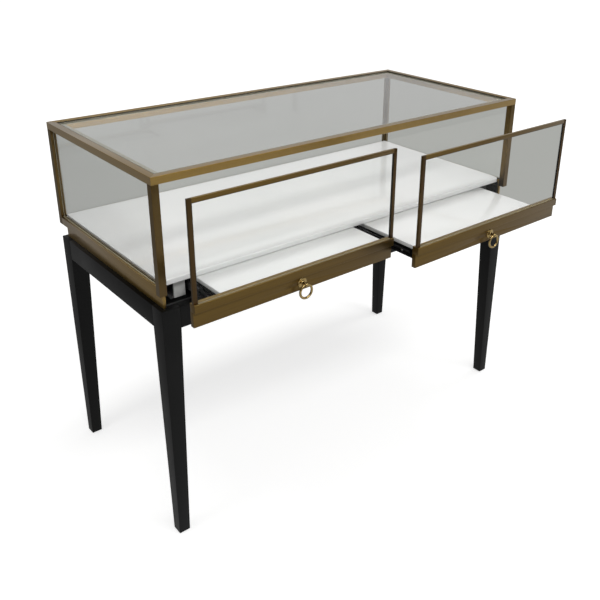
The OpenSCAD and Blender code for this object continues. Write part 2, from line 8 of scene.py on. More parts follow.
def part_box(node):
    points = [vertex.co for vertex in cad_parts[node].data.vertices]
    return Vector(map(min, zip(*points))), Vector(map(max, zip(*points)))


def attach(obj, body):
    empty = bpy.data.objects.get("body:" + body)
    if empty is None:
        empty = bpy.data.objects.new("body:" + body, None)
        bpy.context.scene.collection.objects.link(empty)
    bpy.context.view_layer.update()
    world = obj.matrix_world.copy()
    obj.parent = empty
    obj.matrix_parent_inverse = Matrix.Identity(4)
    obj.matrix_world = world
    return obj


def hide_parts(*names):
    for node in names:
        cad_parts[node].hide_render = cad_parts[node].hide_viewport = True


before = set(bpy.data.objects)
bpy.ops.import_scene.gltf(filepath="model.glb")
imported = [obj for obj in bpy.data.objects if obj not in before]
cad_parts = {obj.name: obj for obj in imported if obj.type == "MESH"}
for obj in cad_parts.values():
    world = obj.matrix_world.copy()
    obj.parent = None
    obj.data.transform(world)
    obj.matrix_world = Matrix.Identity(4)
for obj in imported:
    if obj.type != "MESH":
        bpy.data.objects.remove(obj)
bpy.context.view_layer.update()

# The counter is measured in millimetres here and modelled in metres.
MM = 0.001
LEFT = -1
RIGHT = 1
SIDES = {"left": LEFT, "right": RIGHT}


def in_mm(corners):
    """The two corners of a box, in millimetres."""
    return [corner / MM for corner in corners]


case_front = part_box("top_rail_front")[0].y / MM
case_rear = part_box("top_rail_rear")[1].y / MM
left_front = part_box("drawer_left_rail")[0].y / MM


# Camera

def stand_camera():
    """Stands the camera where the photograph was taken from."""
    turn = math.radians(40.98)
    dip = math.radians(23.44)
    roll = math.radians(1.17)
    stand = (-1.26658, -1.52279, 1.45499)
    ahead = Vector((math.sin(turn) * math.cos(dip), math.cos(turn) * math.cos(dip), -math.sin(dip)))
    level = Vector((math.cos(turn), -math.sin(turn), 0))
    upright = level.cross(ahead)
    across = math.cos(roll) * level + math.sin(roll) * upright
    up = math.cos(roll) * upright - math.sin(roll) * level
    lens = bpy.data.cameras.new("photo_camera")
    lens.sensor_width = 36
    lens.lens = 45.52
    lens.shift_x = -0.0632
    lens.shift_y = -0.1014
    lens.clip_start = 0.05
    lens.clip_end = 200
    camera = bpy.data.objects.new("photo_camera", lens)
    bpy.context.scene.collection.objects.link(camera)
    rows = [(across[i], up[i], -ahead[i], stand[i]) for i in range(3)]
    camera.matrix_world = Matrix((*rows, (0, 0, 0, 1)))
    bpy.context.scene.camera = camera


# Nodes of a finish

def start_finish(name, colour, **sockets):
    """A new material with a Principled shader; sockets are named with _ for a space."""
    finish = bpy.data.materials.new(name)
    finish.use_nodes = True
    shader = finish.node_tree.nodes["Principled BSDF"]
    shader.inputs["Base Color"].default_value = (*colour, 1)
    for socket, value in sockets.items():
        shader.inputs[socket.replace("_", " ")].default_value = value
    return finish


def shader_of(finish):
    """The Principled shader of a material."""
    return finish.node_tree.nodes["Principled BSDF"]


def add(finish, kind, **settings):
    """Adds a node; a setting is a socket's value if the node has such a socket."""
    made = finish.node_tree.nodes.new(kind)
    for name, value in settings.items():
        if name in made.inputs:
            made.inputs[name].default_value = value
        else:
            setattr(made, name, value)
    return made


def wire(finish, start, end):
    """Links an output to an input."""
    finish.node_tree.links.new(start, end)


def on_piece(finish, repeats, shift=(0, 0, 0)):
    """Coordinates on the piece itself, with so many repeats to the metre along X, Y and Z."""
    place = add(finish, "ShaderNodeTexCoord")
    lay = add(finish, "ShaderNodeMapping", Scale=repeats, Location=shift)
    wire(finish, place.outputs["Object"], lay.inputs["Vector"])
    return lay.outputs["Vector"]


def mottle(finish, repeats, detail=3.0, shift=(0, 0, 0)):
    """Soft noise, drawn out where the repeats differ."""
    noise = add(finish, "ShaderNodeTexNoise", Scale=1.0, Detail=detail)
    wire(finish, on_piece(finish, repeats, shift), noise.inputs["Vector"])
    return noise.outputs["Fac"]


def spread(finish, value, low, high, to_low, to_high):
    """Stretches a value from one range to another and stops at its ends."""
    ranged = add(finish, "ShaderNodeMapRange")
    wire(finish, value, ranged.inputs["Value"])
    ranged.inputs["From Min"].default_value = low
    ranged.inputs["From Max"].default_value = high
    ranged.inputs["To Min"].default_value = to_low
    ranged.inputs["To Max"].default_value = to_high
    return ranged.outputs["Result"]


def between(finish, share, first, second):
    """A colour between two, by share; either may be a colour or another node's output."""
    mix = add(finish, "ShaderNodeMix", data_type="RGBA")
    wire(finish, share, mix.inputs["Factor"])
    for socket, colour in ((mix.inputs[6], first), (mix.inputs[7], second)):
        if isinstance(colour, bpy.types.NodeSocket):
            wire(finish, colour, socket)
        else:
            socket.default_value = (*colour, 1)
    return mix.outputs[2]


def sum_of(finish, first, second, second_share):
    """First plus a share of second."""
    total = add(finish, "ShaderNodeMath", operation="MULTIPLY_ADD")
    wire(finish, second, total.inputs[0])
    total.inputs[1].default_value = second_share
    wire(finish, first, total.inputs[2])
    return total.outputs[0]


def raise_surface(finish, height, depth, strength=1.0):
    """Lets a height, from 0 to 1, stand up from the surface by depth in metres."""
    bump = add(finish, "ShaderNodeBump")
    bump.inputs["Strength"].default_value = strength
    bump.inputs["Distance"].default_value = depth
    wire(finish, height, bump.inputs["Height"])
    wire(finish, bump.outputs["Normal"], shader_of(finish).inputs["Normal"])


def vary_tone(finish, pattern, dark, light, low=0.3):
    """Lets the colour wander from a dark tone to a light one."""
    share = spread(finish, pattern, low, 0.7, 0, 1)
    wire(finish, between(finish, share, dark, light), shader_of(finish).inputs["Base Color"])


def vary_gloss(finish, pattern, first, last):
    """Lets the roughness wander from one value to another."""
    wire(finish, spread(finish, pattern, 0.3, 0.7, first, last), shader_of(finish).inputs["Roughness"])


def along(axis, run, across):
    """Repeats that are few along one axis and many across it."""
    repeats = [across, across, across]
    repeats["xyz".index(axis)] = run
    return tuple(repeats)


# Finishes

def brushed_brass(name, axis, dark, light, shade, coat, lit_top=None):
    """Plated steel brushed along the bar, a little uneven; the last tone, if given, is a painted highlight
    on faces that look up.
    """
    finish = start_finish(
        name, light, Metallic=1.0, Roughness=0.42, Anisotropic=0.7, Coat_Weight=coat, Coat_Roughness=0.3
    )
    hair = mottle(finish, along(axis, 9, 1700), 3.0)
    stroke = mottle(finish, along(axis, 1.4, 420), 2.0, (4, 7, 2))
    cloud = mottle(finish, along(axis, 2.6, 12), 2.0, (1, 3, 9))
    brush = sum_of(finish, hair, stroke, 0.4)
    faint = 0.45
    deep = 0.95
    tone = between(finish, spread(finish, brush, faint, deep, 0, 1), dark, light)
    patina_and_top_light = between(finish, spread(finish, cloud, 0.35, 0.75, 0, 0.6), tone, shade)
    # Painted highlight: faces that look up are lighter, as if lit from above.
    if lit_top:
        facing = add(finish, "ShaderNodeNewGeometry")
        parts = add(finish, "ShaderNodeSeparateXYZ")
        wire(finish, facing.outputs["Normal"], parts.inputs[0])
        patina_and_top_light = between(finish, spread(finish, parts.outputs["Z"], 0.6, 0.95, 0, 0.85), patina_and_top_light, lit_top)
    wire(finish, patina_and_top_light, shader_of(finish).inputs["Base Color"])
    wire(finish, spread(finish, brush, faint, deep, 0.5, 0.38), shader_of(finish).inputs["Roughness"])
    raise_surface(finish, hair, 0.00005, 0.4)
    around = add(finish, "ShaderNodeTangent", direction_type="RADIAL", axis=axis.upper())
    wire(finish, around.outputs[0], shader_of(finish).inputs["Tangent"])
    return finish


def black_lacquer():
    """Satin black paint with a faint orange peel."""
    finish = start_finish(
        "satin_black_lacquer", (0.004, 0.004, 0.004), Roughness=0.42, Specular_IOR_Level=0.2
    )
    peel = mottle(finish, (420, 420, 420), 2.0)
    cloud = mottle(finish, (7, 7, 5), 4.0, (3, 1, 5))
    vary_tone(finish, cloud, (0.003, 0.0032, 0.003), (0.0055, 0.0056, 0.0054), 0.35)
    vary_gloss(finish, cloud, 0.36, 0.5)
    raise_surface(finish, peel, 0.00012, 0.35)
    return finish


def black_board():
    """Black faced board inside the drawer box, with a fine leather grain."""
    finish = start_finish(
        "black_faced_board", (0.003, 0.003, 0.003), Roughness=0.6, Specular_IOR_Level=0.05
    )
    grain = mottle(finish, (700, 700, 700), 3.0)
    cloud = mottle(finish, (11, 11, 11), 3.0, (5, 2, 2))
    vary_tone(finish, cloud, (0.0022, 0.0024, 0.0022), (0.0045, 0.0048, 0.0045))
    vary_gloss(finish, grain, 0.52, 0.7)
    raise_surface(finish, grain, 0.0002, 0.4)
    return finish


def gloss_white():
    """Gloss white lacquered board, with a faint waviness in the gloss."""
    finish = start_finish(
        "gloss_white_board", (0.80, 0.80, 0.79), Roughness=0.16, Coat_Weight=0.5, Coat_Roughness=0.05
    )
    wave = mottle(finish, (26, 26, 26), 2.0)
    cloud = mottle(finish, (3.5, 5, 5), 3.0, (2, 8, 1))
    vary_tone(finish, cloud, (0.785, 0.79, 0.785), (0.82, 0.82, 0.81), 0.35)
    vary_gloss(finish, cloud, 0.13, 0.22)
    raise_surface(finish, wave, 0.0003, 0.12)
    return finish


def edge_band_painted_shade():
    """Light grey edge band of the tray boards; its grey is painted shade on the boards' side faces."""
    finish = start_finish("edge_band_painted_shade", (0.66, 0.67, 0.66), Roughness=0.4)
    line = mottle(finish, (60, 60, 2600), 2.0)
    vary_tone(finish, line, (0.61, 0.62, 0.61), (0.72, 0.72, 0.71))
    vary_gloss(finish, line, 0.34, 0.48)
    raise_surface(finish, line, 0.00005, 0.4)
    return finish


def black_slide_steel():
    """Black coated slide steel, lightly marked along its length."""
    finish = start_finish(
        "black_slide_steel", (0.008, 0.008, 0.008), Roughness=0.38, Specular_IOR_Level=0.3
    )
    draw = mottle(finish, (900, 18, 900), 3.0)
    spot = mottle(finish, (60, 30, 60), 3.0, (2, 2, 6))
    vary_tone(finish, draw, (0.005, 0.005, 0.0055), (0.013, 0.013, 0.0135), 0.35)
    vary_gloss(finish, spot, 0.28, 0.5)
    raise_surface(finish, draw, 0.00005, 0.4)
    return finish


def zinc_plate():
    """Zinc plated steel, a little uneven."""
    finish = start_finish("zinc_plate", (0.55, 0.56, 0.57), Metallic=1.0, Roughness=0.35)
    spangle = mottle(finish, (240, 240, 240), 4.0)
    vary_tone(finish, spangle, (0.42, 0.43, 0.45), (0.66, 0.67, 0.67), 0.35)
    vary_gloss(finish, spangle, 0.26, 0.48)
    raise_surface(finish, spangle, 0.00005, 0.3)
    return finish


def drawn_aluminium():
    """Anodised aluminium section with die lines along it."""
    finish = start_finish("drawn_aluminium", (0.6, 0.61, 0.62), Metallic=1.0, Roughness=0.35)
    die = mottle(finish, (1400, 3, 1400), 3.0)
    vary_tone(finish, die, (0.5, 0.51, 0.52), (0.7, 0.7, 0.7), 0.35)
    vary_gloss(finish, die, 0.28, 0.45)
    raise_surface(finish, die, 0.00005, 0.4)
    return finish


def grey_cap_plastic():
    """Moulded light grey plastic."""
    finish = start_finish("grey_cap_plastic", (0.48, 0.48, 0.47), Roughness=0.5)
    spark = mottle(finish, (900, 900, 900), 2.0)
    cloud = mottle(finish, (60, 60, 60), 3.0)
    vary_tone(finish, cloud, (0.43, 0.43, 0.42), (0.52, 0.52, 0.505))
    vary_gloss(finish, spark, 0.42, 0.6)
    raise_surface(finish, spark, 0.0001, 0.4)
    return finish


def polished_gold():
    """Polished gold plate with fine rubbing marks."""
    finish = start_finish("polished_gold", (0.46, 0.33, 0.13), Metallic=1.0, Roughness=0.07)
    rub = mottle(finish, (900, 900, 260), 3.0)
    cloud = mottle(finish, (120, 120, 120), 3.0, (1, 4, 1))
    vary_tone(finish, cloud, (0.36, 0.25, 0.09), (0.56, 0.42, 0.19))
    vary_gloss(finish, rub, 0.05, 0.12)
    raise_surface(finish, rub, 0.00003, 0.3)
    return finish


def black_rubber():
    """Matt black rubber or nylon."""
    finish = start_finish("black_rubber", (0.02, 0.02, 0.02), Roughness=0.7)
    grain = mottle(finish, (1200, 1200, 1200), 2.0)
    vary_tone(finish, grain, (0.014, 0.014, 0.014), (0.03, 0.03, 0.03))
    vary_gloss(finish, grain, 0.6, 0.85)
    raise_surface(finish, grain, 0.0001, 0.4)
    return finish


def sealant(name, dark, light, shine=0.38, dull=0.55):
    """Coloured glazing sealant, smoothed by hand and a little shiny."""
    finish = start_finish(name, light, Roughness=0.45)
    drag = mottle(finish, (160, 160, 160), 3.0)
    vary_tone(finish, drag, dark, light)
    vary_gloss(finish, drag, shine, dull)
    raise_surface(finish, drag, 0.00015, 0.4)
    return finish


def clear_glass(name, bending):
    """Clear glass; lamps and the light off the white boards pass straight through it."""
    finish = start_finish(name, (0.99, 0.995, 0.99), Roughness=0.0, IOR=bending, Transmission_Weight=1.0)
    smear = mottle(finish, (6, 6, 9), 3.0)
    vary_tone(finish, smear, (0.985, 0.993, 0.986), (0.995, 0.998, 0.994))
    path = add(finish, "ShaderNodeLightPath")
    open_way = add(finish, "ShaderNodeBsdfTransparent", Color=(0.98, 0.985, 0.98, 1))
    for_boards = add(finish, "ShaderNodeMixShader")
    for_lamps = add(finish, "ShaderNodeMixShader")
    wire(finish, path.outputs["Is Diffuse Ray"], for_boards.inputs[0])
    wire(finish, shader_of(finish).outputs[0], for_boards.inputs[1])
    wire(finish, open_way.outputs[0], for_boards.inputs[2])
    wire(finish, path.outputs["Is Shadow Ray"], for_lamps.inputs[0])
    wire(finish, for_boards.outputs[0], for_lamps.inputs[1])
    wire(finish, open_way.outputs[0], for_lamps.inputs[2])
    wire(finish, for_lamps.outputs[0], finish.node_tree.nodes["Material Output"].inputs["Surface"])
    return finish


# Lacquered brass, brushed along each bar. The browner, darker tones of the uprights and the drawers are
# painted shade for the light these faces miss, and the drawers' upward faces get a painted highlight tone.
rail_tones = (0.310, 0.190, 0.034), (0.420, 0.265, 0.052), (0.290, 0.170, 0.028)
post_shaded_tones = (0.130, 0.080, 0.020), (0.182, 0.116, 0.031), (0.120, 0.071, 0.017)
drawer_shaded_tones = (0.148, 0.086, 0.012), (0.192, 0.115, 0.018), (0.137, 0.077, 0.010)
stile_shaded_tones = (0.086, 0.047, 0.012), (0.116, 0.067, 0.018), (0.077, 0.042, 0.010)
painted_top_light_tone = (0.34, 0.23, 0.075)
brass = {
    "x": brushed_brass("brushed_brass_x", "x", *rail_tones, 1.0),
    "y": brushed_brass("brushed_brass_y", "y", *rail_tones, 1.0),
    "z": brushed_brass("brushed_brass_z_painted_shade", "z", *post_shaded_tones, 0.4),
}
drawer_painted_brass = {
    "x": brushed_brass("drawer_brass_x_painted_light", "x", *drawer_shaded_tones, 0.5, painted_top_light_tone),
    "z": brushed_brass("drawer_brass_z_painted_shade", "z", *stile_shaded_tones, 0.3),
}
lacquer = black_lacquer()
silicone = sealant("black_silicone", (0.009, 0.009, 0.009), (0.018, 0.018, 0.018), 0.42, 0.6)
bronze_seal = sealant("bronze_sealant", (0.26, 0.215, 0.125), (0.34, 0.29, 0.18))
brown_seal = sealant("brown_sealant", (0.035, 0.028, 0.018), (0.06, 0.048, 0.032))
board_black = black_board()
white = gloss_white()
edge_band_shade = edge_band_painted_shade()
slide_black = black_slide_steel()
zinc = zinc_plate()
aluminium = drawn_aluminium()
cap_plastic = grey_cap_plastic()
tape_foam = sealant("glazing_tape", (0.19, 0.175, 0.115), (0.23, 0.215, 0.145))
gold = polished_gold()
rubber = black_rubber()

# Glass that is coated against glare mirrors little, as if it bent light less.
glass = clear_glass("clear_glass", 1.5)
coated_glass = clear_glass("coated_glass", 1.15)


# Hand tools

def let_go():
    """Deselects everything, so that the next tool acts on one piece only."""
    bpy.ops.object.select_all(action="DESELECT")


def take(piece):
    """Selects one piece and nothing else."""
    let_go()
    piece.select_set(True)
    bpy.context.view_layer.objects.active = piece


def settle(piece):
    """Puts the place, turn and size of a piece into its mesh."""
    take(piece)
    bpy.ops.object.transform_apply(location=True, rotation=True, scale=True)


def block(name, low, high):
    """A box between two corners, as the start of a piece."""
    let_go()
    middle = [(a + b) / 2 * MM for a, b in zip(low, high)]
    size = [(b - a) * MM for a, b in zip(low, high)]
    bpy.ops.mesh.primitive_cube_add(size=1, location=middle, scale=size)
    piece = bpy.context.active_object
    piece.name = name
    settle(piece)
    return piece


def work_on(piece, kind):
    """Opens a piece in edit mode with nothing selected."""
    take(piece)
    bpy.ops.object.mode_set(mode="EDIT")
    bpy.ops.mesh.select_mode(type=kind)
    bpy.ops.mesh.select_all(action="DESELECT")


def put_down():
    """Closes the piece that is open in edit mode."""
    bpy.ops.object.mode_set(mode="OBJECT")


def pick_faces(piece, wanted):
    """Selects the faces whose middle, in millimetres, and normal are wanted."""
    mesh = bmesh.from_edit_mesh(piece.data)
    for face in mesh.faces:
        if wanted(face.calc_center_median() / MM, face.normal):
            face.select_set(True)
    bmesh.update_edit_mesh(piece.data)


def pick_edges(piece, wanted):
    """Selects the edges whose middle, in millimetres, and direction are wanted."""
    mesh = bmesh.from_edit_mesh(piece.data)
    for edge in mesh.edges:
        start = edge.verts[0].co
        end = edge.verts[1].co
        if wanted((start + end) / 2 / MM, (end - start).normalized()):
            edge.select_set(True)
    bmesh.update_edit_mesh(piece.data)


def round_edges(piece, width, steps, wanted):
    """Rounds the edges whose middle, in millimetres, and direction are wanted."""
    work_on(piece, "EDGE")
    pick_edges(piece, wanted)
    bpy.ops.mesh.bevel(offset=width * MM, segments=steps, affect="EDGES")
    put_down()


def ease(piece, width, steps=2):
    """Eases all the edges of a piece."""
    round_edges(piece, width, steps, lambda middle, way: True)


def turn_out(piece):
    """Turns all the faces of a piece outwards."""
    work_on(piece, "FACE")
    bpy.ops.mesh.select_all(action="SELECT")
    bpy.ops.mesh.remove_doubles(threshold=0.000001)
    bpy.ops.mesh.normals_make_consistent(inside=False)
    put_down()


def polish(piece, angle=35):
    """Shades a piece smooth over every edge that turns by less than an angle in degrees."""
    take(piece)
    bpy.ops.object.shade_smooth_by_angle(angle=math.radians(angle))


def apply_all(piece):
    """Makes a piece's modifiers part of its mesh."""
    take(piece)
    for modifier in list(piece.modifiers):
        bpy.ops.object.modifier_apply(modifier=modifier.name)


def join(name, pieces):
    """Makes one piece of several."""
    let_go()
    for piece in pieces:
        piece.select_set(True)
    bpy.context.view_layer.objects.active = pieces[0]
    bpy.ops.object.join()
    pieces[0].name = name
    return pieces[0]


def copy_of(piece, name):
    """A copy with its own mesh."""
    copy = bpy.data.objects.new(name, piece.data.copy())
    bpy.context.scene.collection.objects.link(copy)
    return copy


def copy_moved(piece, name, step):
    """A copy moved by step, in millimetres."""
    copy = copy_of(piece, name)
    copy.location = [part * MM for part in step]
    settle(copy)
    return copy


def copy_mirrored(piece, name, mirror_x=True, mirror_y=False):
    """A mirror image: X about the counter's middle, Y about the base's."""
    copy = copy_of(piece, name)
    copy.scale = (-1 if mirror_x else 1, -1 if mirror_y else 1, 1)
    base_middle = (case_front + case_rear) * MM
    copy.location = (0, base_middle if mirror_y else 0, 0)
    settle(copy)
    turn_out(copy)
    return copy


def eased_copy(node, name, width):
    """A copy of a CAD node, merged, with its sharp edges eased."""
    piece = copy_of(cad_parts[node], name)
    work_on(piece, "VERT")
    bpy.ops.mesh.select_all(action="SELECT")
    bpy.ops.mesh.remove_doubles(threshold=0.000001)
    bpy.ops.mesh.dissolve_limited(angle_limit=math.radians(0.5))
    put_down()
    soften = piece.modifiers.new("eased_edges", "BEVEL")
    soften.width = width * MM
    soften.segments = 2
    soften.limit_method = "ANGLE"
    soften.angle_limit = math.radians(30)
    soften.use_clamp_overlap = True
    apply_all(piece)
    return piece


def finish_piece(piece, body, finish, slot, *nodes):
    """Gives a piece its finish and its body, and hides the CAD nodes that it stands for."""
    piece.data.materials.clear()
    piece.data.materials.append(finish)
    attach(piece, body)
    if nodes:
        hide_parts(*nodes)


def finish_node(node, finish):
    """Gives a CAD node that stays its finish."""
    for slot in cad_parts[node].material_slots:
        slot.material = finish


# Table base

base_low, base_high = in_mm(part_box("leg_front_left"))
leg_top = 46
leg_foot = 29
apron_h = 54


def model_legs():
    """One leg is shaped, and the other three are its mirror images."""
    outer_x = base_low.x
    outer_y = base_low.y
    under = base_high.z - apron_h
    leg = block(
        "leg_front_left_lacquered",
        (outer_x, outer_y, under),
        (outer_x + leg_top, outer_y + leg_top, base_high.z),
    )
    work_on(leg, "FACE")
    pick_faces(leg, lambda middle, normal: normal.z < -0.9)
    drop = (base_low.z - under) * MM
    bpy.ops.mesh.extrude_region_move(TRANSFORM_OT_translate={"value": (0, 0, drop)})
    taper = leg_foot / leg_top
    corner = (outer_x * MM, outer_y * MM, base_low.z * MM)
    bpy.ops.transform.resize(value=(taper, taper, 1), center_override=corner)
    put_down()
    round_edges(leg, 1.2, 3, lambda middle, way: abs(way.z) > 0.9)
    round_edges(leg, 1.5, 2, lambda middle, way: abs(way.z) < 0.1 and middle.z < base_low.z + 1)
    round_edges(leg, 0.8, 2, lambda middle, way: abs(way.z) < 0.1 and middle.z > base_high.z - 0.1)
    legs = {
        "leg_front_left": leg,
        "leg_front_right": copy_mirrored(leg, "leg_front_right_lacquered"),
        "leg_rear_left": copy_mirrored(leg, "leg_rear_left_lacquered", False, True),
        "leg_rear_right": copy_mirrored(leg, "leg_rear_right_lacquered", True, True),
    }
    for node, piece in legs.items():
        polish(piece)
        finish_piece(piece, "counter", lacquer, "base_black", node)


def eased_box(node, name, width, steps=2, lift=0):
    """An eased box where a CAD node's box is, with its underside lifted by so much."""
    low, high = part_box(node)
    piece = block(name, low / MM + Vector((0, 0, lift)), high / MM)
    ease(piece, width, steps)
    polish(piece)
    return piece


def model_aprons():
    """The front and rear aprons, and the side ones as a pair."""
    for node in ("apron_front", "apron_rear"):
        piece = eased_box(node, node + "_lacquered", 0.8)
        finish_piece(piece, "counter", lacquer, "base_black", node)
    low, high = in_mm(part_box("side_aprons"))
    thick = 20
    left = block("side_aprons_lacquered", low, (low.x + thick, high.y, high.z))
    right = block("right_side_apron", (high.x - thick, low.y, low.z), high)
    pair = join("side_aprons_lacquered", [left, right])
    ease(pair, 0.8)
    polish(pair)
    finish_piece(pair, "counter", lacquer, "base_black", "side_aprons")


# Drawer box and case

def model_box():
    """The brushed outer panels of the drawer box."""
    for node in ("box_side_left", "box_side_right"):
        finish_piece(eased_box(node, node + "_brushed", 0.6), "counter", brass["y"], "box_brass", node)
    back = eased_box("box_back", "box_back_brushed", 0.6)
    finish_piece(back, "counter", brass["x"], "box_brass", "box_back")


frame_members = {
    "x": ("top_rail_front", "top_rail_rear", "sill_rear"),
    "y": ("top_rail_left", "top_rail_right", "sill_left", "sill_right"),
    "z": ("post_front_left", "post_front_right", "post_rear_left", "post_rear_right"),
}


def model_case_frame():
    """Each member has its mitres and ends eased, so that a hairline shows at every joint."""
    for axis, nodes in frame_members.items():
        for node in nodes:
            member = eased_copy(node, node + "_brushed", 0.35)
            polish(member)
            finish_piece(member, "counter", brass[axis], "frame_brass", node)


def hoop(name, low, high, axis, width):
    """A rectangular hoop: a slab with its two broad faces inset and bridged through."""
    piece = block(name, low, high)
    work_on(piece, "FACE")
    pick_faces(piece, lambda middle, normal: abs(normal["xyz".index(axis)]) > 0.9)
    bpy.ops.mesh.inset(thickness=width * MM)
    bpy.ops.mesh.bridge_edge_loops()
    put_down()
    turn_out(piece)
    return piece


sill_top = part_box("sill_left")[1].z / MM
rail_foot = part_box("top_rail_left")[0].z / MM
top_glass = in_mm(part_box("glass_top"))
side_glass = in_mm(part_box("glass_right"))
rear_glass = in_mm(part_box("glass_rear"))
post_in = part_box("post_front_right")[0].x / MM
post_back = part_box("post_front_right")[1].y / MM
post_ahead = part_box("post_rear_right")[0].y / MM
bead_w = 1.0
foot_bead_w = 2
foot_bead_h = 1.6
gap_bead_w = 1.4
gap_bead_h = 3.6
edge_bead_w = 0.4
tape_w = 17.5
tape_thick = 0.2
# A hair of room between two faces that would otherwise lie in one plane
hair = 0.05


def rail_hoop(name, foot, top, width):
    """A level hoop all round the inside of the top rails, between two heights."""
    low = (hair - post_in, post_back + hair, foot)
    high = (post_in - hair, post_ahead - hair, top)
    return hoop(name, low, high, "z", width)


def lay_tape():
    """The dull tape on the ledge of the top rails that the top pane lies on."""
    ledge_top = top_glass[0].z
    tape = rail_hoop("case_glazing_tape", ledge_top, ledge_top + tape_thick, tape_w)
    polish(tape, 50)
    finish_piece(tape, "counter", tape_foam, "frame_brass")


def model_seals():
    """Bronze beads outside the panes, brown ones inside, and brown fillets down to the deck."""
    outside = []
    inside = []
    for beads, x in ((inside, side_glass[0].x - bead_w), (outside, side_glass[1].x)):
        bead = hoop("bead", (x, post_back, sill_top), (x + bead_w, post_ahead, rail_foot), "x", bead_w)
        beads.append(bead)
        beads.append(copy_mirrored(bead, "bead_mirrored"))
    for beads, y in ((inside, rear_glass[0].y - bead_w), (outside, rear_glass[1].y)):
        beads.append(hoop("bead", (-post_in, y, sill_top), (post_in, y + bead_w, rail_foot), "y", bead_w))
    pane_top = top_glass[1].z
    inside.append(rail_hoop("bead", pane_top, pane_top + gap_bead_h, gap_bead_w))
    foot_x = side_glass[1].x + bead_w
    foot_low = (foot_x, post_back, sill_top)
    foot_high = (foot_x + foot_bead_w, post_ahead, sill_top + foot_bead_h)
    foot = block("foot_bead", foot_low, foot_high)
    outside += [foot, copy_mirrored(foot, "foot_bead_mirrored")]
    for bead in outside + inside:
        ease(bead, 0.3)
    lay_tape()
    outside.append(rail_hoop("edge_bead", top_glass[0].z + tape_thick, pane_top - hair, edge_bead_w))
    fillet_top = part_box("deck")[1].z / MM - 3
    fillet_gap = 0.1
    side = block(
        "fillet_side",
        (post_in + fillet_gap, post_back, sill_top),
        (side_glass[0].x, post_ahead, fillet_top),
    )
    rear = block(
        "fillet_rear",
        (-post_in, post_ahead + fillet_gap, sill_top),
        (post_in, rear_glass[0].y, fillet_top),
    )
    inner_x = post_in + 2 * fillet_gap
    inner_y = post_ahead + 2 * fillet_gap
    above = sill_top + 1
    round_edges(side, 2, 3, lambda spot, way: abs(way.y) > 0.9 and spot.z > above and spot.x < inner_x)
    round_edges(rear, 2, 3, lambda spot, way: abs(way.x) > 0.9 and spot.z > above and spot.y < inner_y)
    inside += [side, copy_mirrored(side, "fillet_mirrored"), rear]
    for name, beads, finish, slot in (
        ("case_glazing_beads_outside", outside, bronze_seal, "frame_brass"),
        ("case_glazing_seals_inside", inside, brown_seal, "inner_black"),
    ):
        seals = join(name, beads)
        polish(seals, 50)
        finish_piece(seals, "counter", finish, slot)


def paint_box_shade():
    """Black liners on the inner faces of the drawer box's side and back panels, clear of shut drawers: a
    dark sheet that paints in the shade under the deck.
    """
    thick = 0.6
    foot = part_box("box_floor")[1].z / MM + 0.2
    side_low, side_high = in_mm(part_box("box_side_right"))
    back_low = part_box("box_back")[0] / MM
    top = side_high.z - 0.4
    shut_band_back = case_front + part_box("drawer_left_band")[1].y / MM - left_front
    right = block(
        "liner",
        (side_low.x - thick, shut_band_back + 1, foot),
        (side_low.x, back_low.y - 0.2, top),
    )
    back = block(
        "back_liner",
        (-side_low.x + 1, back_low.y - thick, foot),
        (side_low.x - 1, back_low.y, top),
    )
    liners = join("drawer_box_shade_liners", [right, copy_mirrored(right, "liner_mirrored"), back])
    ease(liners, 0.15, 1)
    polish(liners)
    finish_piece(liners, "counter", board_black, "inner_black")


def model_floor_strip():
    """A strip of black foam closes the slit between the front apron and the box floor."""
    apron_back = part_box("apron_front")[1] / MM
    floor_low, floor_high = in_mm(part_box("box_floor"))
    strip = block(
        "floor_foam_strip",
        (floor_low.x + 2, apron_back.y, apron_back.z - 6),
        (floor_high.x - 2, floor_low.y, floor_high.z - 0.8),
    )
    round_edges(strip, 0.9, 3, lambda middle, way: abs(way.x) > 0.9 and middle.z > apron_back.z)
    polish(strip)
    finish_piece(strip, "counter", rubber, "inner_black")


def model_glass():
    """Each pane has its edges ground and polished; those of the drawers are coated against glare."""
    panes = {
        "glass_top": ("counter", glass),
        "glass_left": ("counter", glass),
        "glass_right": ("counter", glass),
        "glass_rear": ("counter", glass),
        "drawer_left_glass": ("drawer_left", coated_glass),
        "drawer_right_glass": ("drawer_right", coated_glass),
    }
    for node, (body, kind) in panes.items():
        lift = tape_thick + hair if node == "glass_top" else 0
        piece = eased_box(node, node + "_polished", 0.5, 1, lift)
        finish_piece(piece, body, kind, "case_glass", node)


def model_deck():
    """The white deck, with a rounded front edge and rounded front corners."""
    low, high = in_mm(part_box("deck"))
    corner = 9
    front = low.y + corner + 0.1
    deck = block("deck_lacquered", low, high)
    round_edges(deck, corner, 6, lambda spot, way: abs(way.z) > 0.9 and spot.y < low.y + 1)
    round_edges(deck, 3, 5, lambda spot, way: abs(way.z) < 0.1 and spot.z > high.z - 0.1 and spot.y < front)
    round_edges(deck, 0.6, 2, lambda spot, way: spot.z < low.z + 0.1)
    polish(deck, 50)
    finish_piece(deck, "counter", white, "deck_white", "deck")


# Drawers

